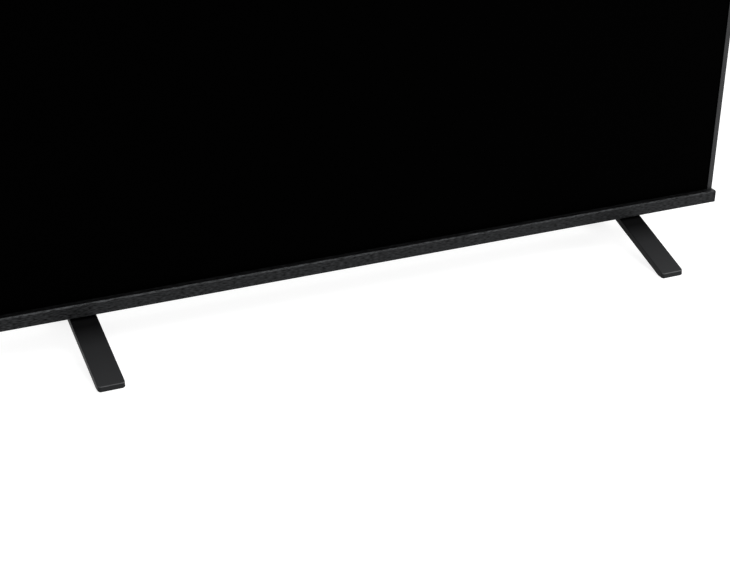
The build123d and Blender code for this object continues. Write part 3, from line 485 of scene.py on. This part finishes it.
facing = add_node(
    screw_tree, "FunctionNodeEulerToRotation", {"Euler": vector_of(screw_tree, x=given["Tilt"])}
)
placed = add_node(
    screw_tree,
    "GeometryNodeInstanceOnPoints",
    {
        "Points": given["Places"],
        "Instance": joined(screw_tree, recess.outputs["Mesh"], sunk.outputs[0]),
        "Rotation": facing.outputs[0],
    },
)
# Each recess is left at its own angle; input 3 is the upper limit of the number in output 1
chance = add_node(screw_tree, "FunctionNodeRandomValue", {"Seed": driven_seed})
chance.inputs[3].default_value = math.pi
driven_home = add_node(
    screw_tree,
    "GeometryNodeRotateInstances",
    {
        "Instances": placed.outputs[0],
        "Rotation": vector_of(screw_tree, z=chance.outputs[1]),
    },
)
end_tree(screw_tree, given, driven_home.outputs[0])


def screw_seats(node, axis, outward, head_radius, head_height):
    """Where each screw of a CAD node has the underside of its head; axis is 1 for Y, 2 for Z."""
    groups = []
    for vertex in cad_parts[node].data.vertices:
        flat = vertex.co.copy()
        flat[axis] = 0
        for group in groups:
            if (group[0] - flat).length < 2 * head_radius + seat_slack:
                group.append(flat)
                break
        else:
            groups.append([flat])
    low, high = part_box(node)
    level = (high if outward > 0 else low)[axis] - outward * head_height
    seats = []
    for group in groups:
        seat = [(min(p[i] for p in group) + max(p[i] for p in group)) / 2 for i in range(3)]
        seat[axis] = level
        seats.append(tuple(seat))
    return seats


def fit_screws(name, node, axis, outward, head_radius, head_height, shank_radius):
    """Cross-recessed screws in place of a CAD node's plain ones, as long as those are."""
    low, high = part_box(node)
    grow(
        name,
        screw_tree,
        screw_seats(node, axis, outward, head_radius, head_height),
        {
            "Head Radius": head_radius,
            "Head Height": head_height,
            "Shank Radius": shank_radius,
            "Shank Length": (high - low)[axis] - head_height,
            "Tilt": -math.pi / 2 if outward > 0 else math.pi,
        },
        black_oxide,
        "set",
        "screw_steel",
        node,
    )


board_mask, tree, shader = new_finish("board_mask", mask_green, roughness=0.4)
tracks = surface_noise(tree, scale=400.0, detail=6.0)
vary_colour(tree, shader, tracks, mask_green, mask_light)
vary_roughness(tree, shader, tracks, low=0.32, high=0.5)
dress(board_mask, "main_board", "power_board", "timing_board", "key_board")

brass_standoff, tree, shader = new_finish(
    "brass_standoff", standoff_brass, roughness=0.35, metallic=1.0
)
turned = surface_noise(tree, scale=1.0, detail=3.0, stretch=(300.0, 4000.0, 300.0))
vary_roughness(tree, shader, turned, low=0.26, high=0.44)
dress(brass_standoff, "board_standoffs")

extruded_sink, tree, shader = new_finish("extruded_sink", sink_grey, roughness=0.4, metallic=1.0)
drawn = surface_noise(tree, scale=1.0, detail=3.0, stretch=(1500.0, 1500.0, 30.0))
vary_roughness(tree, shader, drawn, low=0.3, high=0.5)
dress(extruded_sink, "heat_sink")

black_oxide, tree, shader = new_finish("black_oxide", oxide_black, roughness=0.4, metallic=0.9)
oxide = surface_noise(tree, scale=1400.0, detail=3.0)
vary_colour(tree, shader, oxide, oxide_black, oxide_light)
vary_roughness(tree, shader, oxide, low=0.3, high=0.5)
fit_screws(
    "board_cross_screws",
    "board_screws",
    axis=1,
    outward=1,
    head_radius=board_head_radius,
    head_height=board_head_height,
    shank_radius=board_shank_radius,
)


# Cables inside: a flat printed ribbon between two boards, and a bundle of insulated wires held
# tight by its own sleeve, plugged in at both ends.
ribbon_white = (0.62, 0.62, 0.60)
ribbon_line = (0.36, 0.37, 0.37)
sleeve_black = (0.012, 0.012, 0.013)

printed_ribbon, tree, shader = new_finish("printed_ribbon", ribbon_white, roughness=0.45)
conductors = surface_noise(tree, scale=1.0, detail=0.0, stretch=(1100.0, 1.0, 1.0))
vary_colour(tree, shader, conductors, ribbon_line, ribbon_white, low=0.45, high=0.55)
vary_roughness(tree, shader, conductors, low=0.35, high=0.55)
dress(printed_ribbon, "panel_cable")

wire_sleeve, tree, shader = new_finish("wire_sleeve", sleeve_black, roughness=0.5)
braid = surface_noise(tree, scale=1800.0, detail=2.0)
vary_roughness(tree, shader, braid, low=0.42, high=0.62)
add_bump(tree, shader, braid, depth=0.00006, strength=0.6)
dress(wire_sleeve, "board_harness")


# Sockets: plated steel shells and black moulded ones, soldered to the boards with their mouths in
# the recess walls. Rows of gilt leaf contacts lie on their tongues.
plate_grey = (0.50, 0.50, 0.49)
plate_light = (0.60, 0.60, 0.58)
socket_black = (0.010, 0.010, 0.010)
socket_light = (0.018, 0.018, 0.018)
gilt = (0.78, 0.56, 0.22)
shell_wall = 0.0006
mouth_setback = 0.0015
jack_spread = 0.020
tongue_half = 0.0006
leaf_thickness = 0.00012
video_leaf_width = 0.00045
video_leaf_length = 0.0085
video_leaf_pitch = 0.001
data_leaf_width = 0.0011
data_leaf_length = 0.0078
data_leaf_pitch = 0.0022
wire_width = 0.00045
wire_length = 0.0100
wire_pitch = 0.00105
wire_rise = 0.0012
video_upper_count = 10
video_lower_count = 9
data_leaf_count = 4
wire_count = 8
leaf_steps = 6
crest_lift = 2.0
crest_share = 0.3
settle_share = 0.6

plated_shell, tree, shader = new_finish("plated_shell", plate_grey, roughness=0.3, metallic=1.0)
plating = surface_noise(tree, scale=900.0, detail=3.0)
vary_colour(tree, shader, plating, plate_grey, plate_light)
vary_roughness(tree, shader, plating, low=0.22, high=0.4)
dress(plated_shell, "hdmi_jacks", "usb_jacks", "network_jack", "antenna_jack", "wireless_module")

socket_moulding, tree, shader = new_finish("socket_moulding", socket_black, roughness=0.5)
socket_grain = surface_noise(tree, scale=1500.0, detail=3.0)
vary_colour(tree, shader, socket_grain, socket_black, socket_light)
vary_roughness(tree, shader, socket_grain, low=0.42, high=0.6)
dress(socket_moulding, "power_inlet", "optical_jack", "audio_jack")

gilt_contact, tree, shader = new_finish("gilt_contact", gilt, roughness=0.28, metallic=1.0)
vary_roughness(tree, shader, surface_noise(tree, scale=2500.0, detail=2.0), low=0.2, high=0.36)

# A row of sprung leaves at each place, side by side along Z, each running back along -X
leaf_tree, given = start_tree(
    "contact_leaves", "Leaf Length", "Leaf Width", "Leaf Thickness", "Pitch", "Count", "Rise"
)
back = math_of(leaf_tree, "MULTIPLY", given["Leaf Length"], -1.0)
crest = math_of(leaf_tree, "MULTIPLY", given["Rise"], crest_lift)
crest_reach = math_of(leaf_tree, "MULTIPLY", back, crest_share)
settle_reach = math_of(leaf_tree, "MULTIPLY", back, settle_share)
leaf_line = add_node(
    leaf_tree,
    "GeometryNodeCurvePrimitiveBezierSegment",
    {
        "Resolution": leaf_steps,
        "Start": (0, 0, 0),
        "Start Handle": vector_of(leaf_tree, crest_reach, crest),
        "End Handle": vector_of(leaf_tree, settle_reach),
        "End": vector_of(leaf_tree, back),
    },
)
leaf_section = add_node(
    leaf_tree,
    "GeometryNodeCurvePrimitiveQuadrilateral",
    {"Width": given["Leaf Thickness"], "Height": given["Leaf Width"]},
)
leaf = add_node(
    leaf_tree,
    "GeometryNodeCurveToMesh",
    {
        "Curve": leaf_line.outputs[0],
        "Profile Curve": leaf_section.outputs[0],
        "Fill Caps": True,
    },
)
gaps = math_of(leaf_tree, "SUBTRACT", given["Count"], 1.0)
row_length = math_of(leaf_tree, "MULTIPLY", gaps, given["Pitch"])
row_start = math_of(leaf_tree, "MULTIPLY", row_length, -0.5)
row = add_node(
    leaf_tree,
    "GeometryNodeMeshLine",
    {
        "Count": given["Count"],
        "Start Location": vector_of(leaf_tree, z=row_start),
        "Offset": vector_of(leaf_tree, z=given["Pitch"]),
    },
)
leaf_row = add_node(
    leaf_tree,
    "GeometryNodeInstanceOnPoints",
    {"Points": row.outputs[0], "Instance": leaf.outputs[0]},
)
rows = add_node(
    leaf_tree,
    "GeometryNodeInstanceOnPoints",
    {"Points": given["Places"], "Instance": leaf_row.outputs[0]},
)
end_tree(leaf_tree, given, rows.outputs[0])


def jack_middles(node, spread):
    """The middle height of each jack in a CAD node whose jacks stand in a row along Z."""
    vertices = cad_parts[node].data.vertices
    levels = sorted({round(vertex.co.z, ndigits=5) for vertex in vertices})
    groups = [[levels[0]]]
    for level in levels[1:]:
        if level - groups[-1][0] < spread:
            groups[-1].append(level)
        else:
            groups.append([level])
    return [(group[0] + group[-1]) / 2 for group in groups]


def leaf_rows(name, places, count, sizes):
    """Gilt leaves in rows of this count, named after the jacks that hold them."""
    names = ("Leaf Length", "Leaf Width", "Pitch", "Rise")
    grow(
        name,
        leaf_tree,
        places,
        {**dict(zip(names, sizes)), "Leaf Thickness": leaf_thickness, "Count": count},
        gilt_contact,
        "set",
        "socket_steel",
    )


jack_low, jack_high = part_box("hdmi_jacks")
tongue_y = (jack_low.y + jack_high.y) / 2
leaf_x = jack_high.x - mouth_setback
leaf_rows(
    "hdmi_upper_leaves",
    [(leaf_x, tongue_y + tongue_half, z) for z in jack_middles("hdmi_jacks", jack_spread)],
    video_upper_count,
    (video_leaf_length, video_leaf_width, video_leaf_pitch, leaf_thickness),
)
leaf_rows(
    "hdmi_lower_leaves",
    [(leaf_x, tongue_y - tongue_half, z) for z in jack_middles("hdmi_jacks", jack_spread)],
    video_lower_count,
    (video_leaf_length, video_leaf_width, video_leaf_pitch, -leaf_thickness),
)
jack_low, jack_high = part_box("usb_jacks")
tongue_y = (jack_low.y + jack_high.y) / 2
leaf_x = jack_high.x - mouth_setback
leaf_rows(
    "usb_leaves",
    [(leaf_x, tongue_y - tongue_half, z) for z in jack_middles("usb_jacks", jack_spread)],
    data_leaf_count,
    (data_leaf_length, data_leaf_width, data_leaf_pitch, -2 * leaf_thickness),
)
jack_low, jack_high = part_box("network_jack")
wire_x = jack_high.x - 2 * mouth_setback
wire_y = jack_low.y + shell_wall + leaf_thickness
leaf_rows(
    "network_wires",
    [(wire_x, wire_y, (jack_low.z + jack_high.z) / 2)],
    wire_count,
    (wire_length, wire_width, wire_pitch, wire_rise),
)


# Speakers: a moulded box at each side holds a pressed steel basket with its magnet. The cone is
# pressed from black coated paper and moves up and down above the cover's slots.
basket_grey = (0.16, 0.16, 0.17)
basket_light = (0.24, 0.24, 0.25)
cone_black = (0.020, 0.020, 0.020)
cone_light = (0.034, 0.034, 0.033)

painted_basket, tree, shader = new_finish(
    "painted_basket", basket_grey, roughness=0.4, metallic=0.8
)
pressed = surface_noise(tree, scale=700.0, detail=3.0)
vary_colour(tree, shader, pressed, basket_grey, basket_light)
vary_roughness(tree, shader, pressed, low=0.32, high=0.5)
dress(painted_basket, "left_speaker_driver", "right_speaker_driver")

paper_cone, tree, shader = new_finish("paper_cone", cone_black, roughness=0.85)
pulp = surface_noise(tree, scale=1600.0, detail=5.0)
vary_colour(tree, shader, pulp, cone_black, cone_light)
vary_roughness(tree, shader, pulp, low=0.75, high=0.95)
add_bump(tree, shader, pulp, depth=0.00006, strength=0.7)
dress(paper_cone, "left_speaker_cone", "right_speaker_cone")


# Rear cover: one moulding in dark grey styrene with a fine spark-eroded grain, fixed to the back
# pan by black screws in round recesses. Its vents let out the boards' heat.
cover_grey = (0.018, 0.018, 0.019)
cover_light = (0.027, 0.027, 0.028)
cover_head_radius = 0.0035
cover_head_height = 0.0015
cover_shank_radius = 0.0015

grained_cover, tree, shader = new_finish("grained_cover", cover_grey, roughness=0.62)
spark_grain = surface_noise(tree, scale=1100.0, detail=5.0)
vary_colour(tree, shader, spark_grain, cover_grey, cover_light)
vary_roughness(tree, shader, spark_grain, low=0.52, high=0.72)
add_bump(tree, shader, spark_grain, depth=0.00015, strength=0.8)
dress(grained_cover, "rear_cover")

fit_screws(
    "cover_cross_screws",
    "cover_screws",
    axis=1,
    outward=1,
    head_radius=cover_head_radius,
    head_height=cover_head_height,
    shank_radius=cover_shank_radius,
)


# Wall mount inserts: four zinc-plated steel pillars, drilled and threaded from the back, which
# stand on the back pan and end flush with the cover.
pillar_zinc = (0.48, 0.49, 0.50)
pillar_light = (0.60, 0.61, 0.62)
pillar_radius = 0.0070
bore_radius = 0.0030
thread_depth = 0.0004
thread_pitch = 0.001
thread_run = 0.018
spiral_steps = 24
ridge_sides = 4

plated_pillar, tree, shader = new_finish(
    "plated_pillar", pillar_zinc, roughness=0.35, metallic=1.0
)
facing_cut = surface_noise(tree, scale=1.0, detail=3.0, stretch=(600.0, 60.0, 600.0))
vary_colour(tree, shader, facing_cut, pillar_zinc, pillar_light)
vary_roughness(tree, shader, facing_cut, low=0.26, high=0.44)
dress(plated_pillar, "mount_inserts")

# A spiral ridge down each bore: the spiral runs along Z and is tipped to lie along Y
thread_tree, given = start_tree("bore_threads", "Bore Radius", "Thread Depth", "Pitch", "Run")
turns = math_of(thread_tree, "DIVIDE", given["Run"], given["Pitch"])
spiral = add_node(
    thread_tree,
    "GeometryNodeCurveSpiral",
    {
        "Resolution": spiral_steps,
        "Rotations": turns,
        "Start Radius": given["Bore Radius"],
        "End Radius": given["Bore Radius"],
        "Height": given["Run"],
    },
)
ridge = add_node(
    thread_tree,
    "GeometryNodeCurvePrimitiveCircle",
    {"Resolution": ridge_sides, "Radius": given["Thread Depth"]},
)
wound = add_node(
    thread_tree,
    "GeometryNodeCurveToMesh",
    {"Curve": spiral.outputs[0], "Profile Curve": ridge.outputs[0], "Fill Caps": True},
)
tipped = add_node(
    thread_tree,
    "GeometryNodeTransform",
    {"Geometry": wound.outputs[0], "Rotation": (math.pi / 2, 0, 0)},
)
threads = add_node(
    thread_tree,
    "GeometryNodeInstanceOnPoints",
    {"Points": given["Places"], "Instance": tipped.outputs[0]},
)
end_tree(thread_tree, given, threads.outputs[0])
grow(
    "insert_threads",
    thread_tree,
    screw_seats(
        "mount_inserts",
        axis=1,
        outward=1,
        head_radius=pillar_radius,
        head_height=thread_depth + thread_pitch,
    ),
    {
        "Bore Radius": bore_radius,
        "Thread Depth": thread_depth,
        "Pitch": thread_pitch,
        "Run": thread_run,
    },
    plated_pillar,
    "set",
    "insert_steel",
)


# Power key and receiver window under the set: a satin black moulded key, and a small window of
# dark red-black clear plastic beside it.
key_black = (0.012, 0.012, 0.012)
key_light = (0.018, 0.018, 0.018)
window_dark = (0.012, 0.003, 0.004)

satin_key, tree, shader = new_finish("satin_key", key_black, roughness=0.35)
key_grain = surface_noise(tree, scale=2000.0, detail=2.0)
vary_colour(tree, shader, key_grain, key_black, key_light)
vary_roughness(tree, shader, key_grain, low=0.28, high=0.42)
dress(satin_key, "power_key")

dark_window, tree, shader = new_finish("dark_window", window_dark, roughness=0.08)
vary_roughness(tree, shader, surface_noise(tree, scale=300.0, detail=2.0), low=0.05, high=0.12)
dress(dark_window, "receiver_window")


# Feet: each is one casting, a sloping blade to the front and a steeper one to the back, with a
# dark grey satin coat. Its colour is painted with shade by the web, under the bar, and painted
# lighter toward the toes as painted light. Two screws go up through the web, and rubber pads sit
# under both toes.
# Colours of the feet: painted shade by the web, the coat's own grey, and painted light at the toes
foot_painted_shade = (0.0008, 0.0008, 0.0009)
foot_grey = (0.0168, 0.0172, 0.0180)
toe_painted_light = (0.0252, 0.0257, 0.0267)
# A lighter grey as a painted highlight on the toe bevels, picked out by the slope of their faces
painted_highlight_grey = (0.043, 0.044, 0.046)
bevel_low = 0.5
bevel_high = 0.8
# Distance from the web where the painted shade starts to lift, share of the way where it meets the
# coat's grey, and distance where the painted light is full
painted_shade_end = 0.012
painted_shade_share = 0.36
painted_light_end = 0.123
pad_black = (0.010, 0.010, 0.010)
foot_head_radius = 0.0045
foot_head_height = 0.0035
foot_shank_radius = 0.0025

satin_foot, tree, shader = new_finish("satin_foot", foot_grey, roughness=0.45, specular=0.05)
coat = surface_noise(tree, scale=700.0, detail=3.0)
# Painted shade and light: the colour runs from near black by the web, where the bar shades the
# blade, to a lighter grey toward the toes
along = tree.nodes.new("ShaderNodeSeparateXYZ")
tree.links.new(tree.nodes.new("ShaderNodeTexCoord").outputs["Object"], along.inputs[0])
from_web = math_of(tree, "ABSOLUTE", along.outputs["Y"])
painted_shade_reach = tree.nodes.new("ShaderNodeMapRange")
painted_shade_reach.inputs["From Min"].default_value = painted_shade_end
painted_shade_reach.inputs["From Max"].default_value = painted_light_end
tree.links.new(from_web, painted_shade_reach.inputs["Value"])
painted_shade_fade = vary_colour(
    tree, shader, painted_shade_reach.outputs["Result"], foot_painted_shade, toe_painted_light, low=0.0, high=1.0
)
painted_shade_fade.elements.new(painted_shade_share).color = (*foot_grey, 1)
vary_roughness(tree, shader, coat, low=0.38, high=0.52)
add_bump(tree, shader, coat, depth=0.00003, strength=0.4)
dress(satin_foot, "left_foot", "right_foot")

# Painted highlight: the narrow bevel across each front toe, which faces up and forward, gets a
# lighter, glossier grey
painted_highlight_edge, tree, shader = new_finish("painted_highlight_edge", painted_highlight_grey, roughness=0.3, specular=0.25)
vary_roughness(tree, shader, surface_noise(tree, scale=700.0, detail=3.0), low=0.22, high=0.4)
for foot_name in ("left_foot", "right_foot"):
    foot_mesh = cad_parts[foot_name].data
    foot_mesh.materials.append(painted_highlight_edge)
    for face in foot_mesh.polygons:
        if face.normal.y < -bevel_low and bevel_low < face.normal.z < bevel_high:
            face.material_index = 1

fit_screws(
    "foot_cross_screws",
    "foot_screws",
    axis=2,
    outward=-1,
    head_radius=foot_head_radius,
    head_height=foot_head_height,
    shank_radius=foot_shank_radius,
)

rubber_pad, tree, shader = new_finish("rubber_pad", pad_black, roughness=0.85)
rubber_grain = surface_noise(tree, scale=1500.0, detail=3.0)
vary_roughness(tree, shader, rubber_grain, low=0.75, high=0.95)
add_bump(tree, shader, rubber_grain, depth=0.00005, strength=0.5)
dress(rubber_pad, "left_front_pad", "right_front_pad", "left_rear_pad", "right_rear_pad")
